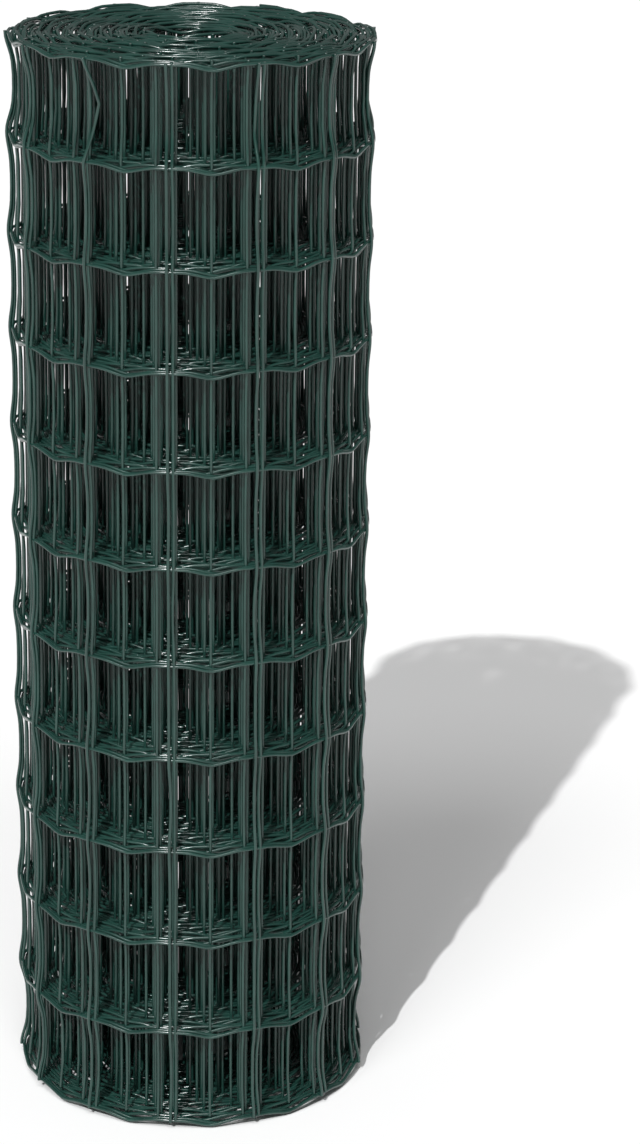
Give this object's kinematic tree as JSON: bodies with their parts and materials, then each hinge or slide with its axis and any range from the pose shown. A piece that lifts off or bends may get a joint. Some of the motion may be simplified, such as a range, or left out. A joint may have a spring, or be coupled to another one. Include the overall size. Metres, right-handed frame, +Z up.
{
  "type": "roll of welded wire fencing",
  "caption": "Standing roll of green coated welded wire fence mesh, wound on itself round an open bore, to be unrolled and fixed to posts as garden or enclosure fencing",
  "frame": {"origin": "middle of the bore, on the plane of the lowest line wire's dips that the roll stands on", "axes": "+Z up along the bore, the roll being turned about it"},
  "size_m": [0.2719, 0.272, 0.8],
  "materials": {
    "green_coating": "satin plastic coating on steel wire"
  },
  "bodies": {
    "root": {"mesh_roll": "green_coating"}
  },
  "joints": []
}
